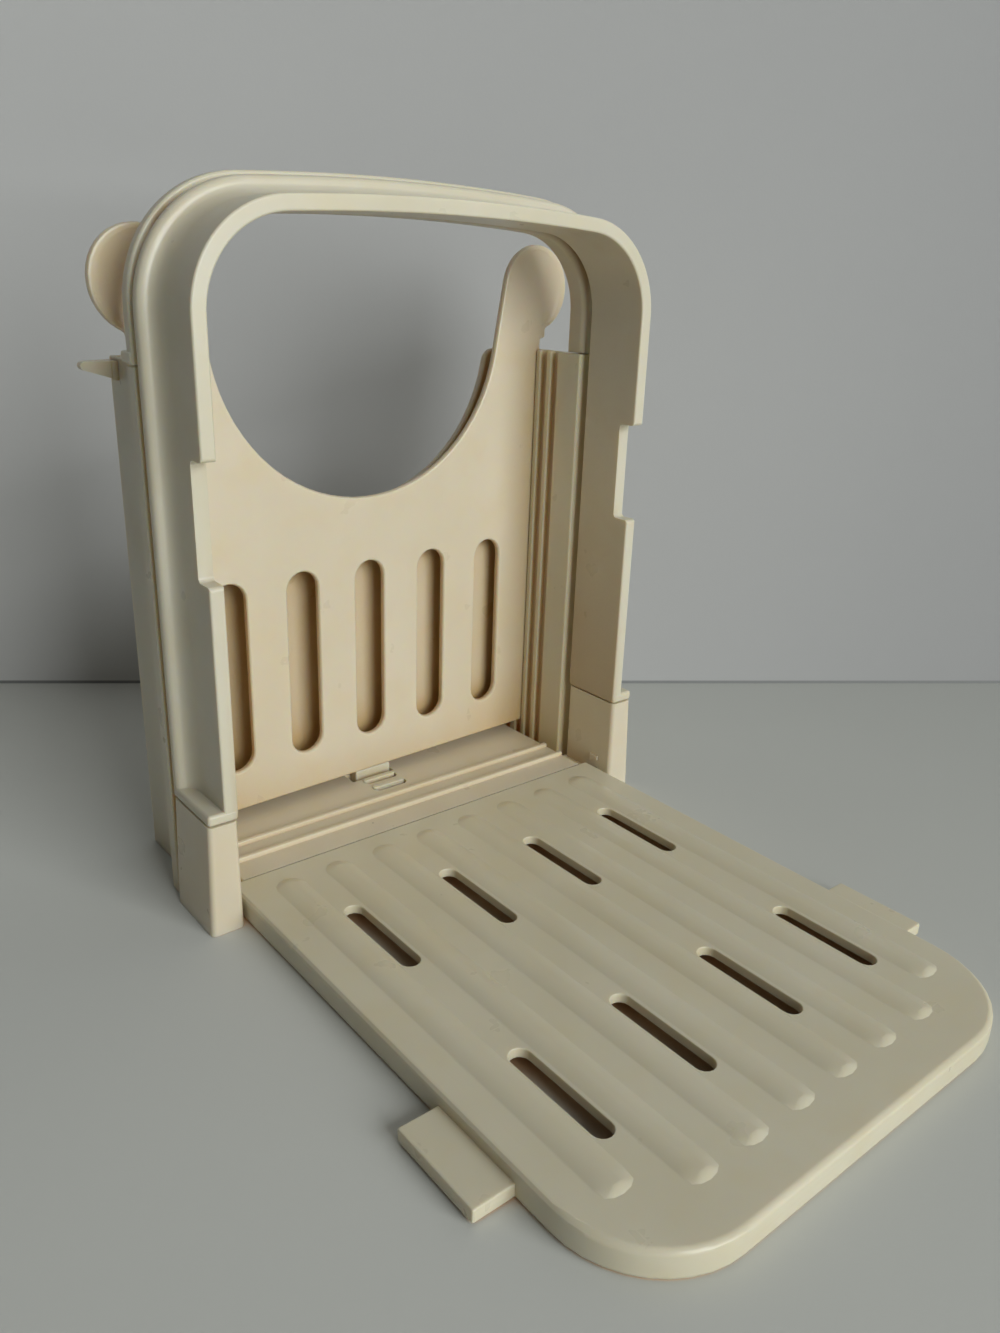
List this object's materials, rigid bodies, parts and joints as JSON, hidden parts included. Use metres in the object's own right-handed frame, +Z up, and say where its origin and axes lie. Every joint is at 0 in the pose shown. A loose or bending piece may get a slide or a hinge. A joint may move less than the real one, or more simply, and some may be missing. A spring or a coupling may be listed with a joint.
{
  "type": "bread slicing guide",
  "caption": "Upright plastic guide for slicing bread: two arches with a knife slit between them, a stop plate in grooved side walls, and a slotted tray that folds out.",
  "frame": {"origin": "bottom centre of the whole guide with its tray folded out, at table level", "axes": "+Z up, -Y towards the side that the tray folds out to, +X to the right as seen from the tray"},
  "size_m": [0.1542, 0.1994, 0.184],
  "materials": {
    "base_plastic": "ivory moulded plastic, satin",
    "tray_plastic": "ivory moulded plastic, satin",
    "front_arch_plastic": "ivory moulded plastic, satin",
    "rear_arch_plastic": "ivory moulded plastic, satin",
    "right_wall_plastic": "ivory moulded plastic, satin",
    "left_wall_plastic": "ivory moulded plastic, satin",
    "back_panel_plastic": "ivory moulded plastic, satin",
    "stop_plate_plastic": "ivory moulded plastic, satin",
    "latch_plastic": "ivory moulded plastic, satin"
  },
  "bodies": {
    "guide_body": {"base": "base_plastic", "right_side_wall": "right_wall_plastic", "left_side_wall": "left_wall_plastic", "back_panel": "back_panel_plastic", "front_arch": "front_arch_plastic", "rear_arch": "rear_arch_plastic"},
    "tray_body": {"tray": "tray_plastic"},
    "stop_plate_body": {"stop_plate": "stop_plate_plastic"},
    "latch_body": {"latch_slider": "latch_plastic"}
  },
  "joints": [
    {"name": "tray_fold", "type": "hinge", "parent": "guide_body", "child": "tray_body", "pos_m": [0, 0.04985, 0.00385], "axis": [-1, 0, 0], "range_deg": [0, 90]},
    {"name": "plate_lift", "type": "slide", "parent": "guide_body", "child": "stop_plate_body", "axis": [0, 0, 1], "range_m": [0, 0.13]},
    {"name": "latch_slide", "type": "slide", "parent": "guide_body", "child": "latch_body", "axis": [0, -1, 0], "range_m": [0, 0.0014]}
  ]
}
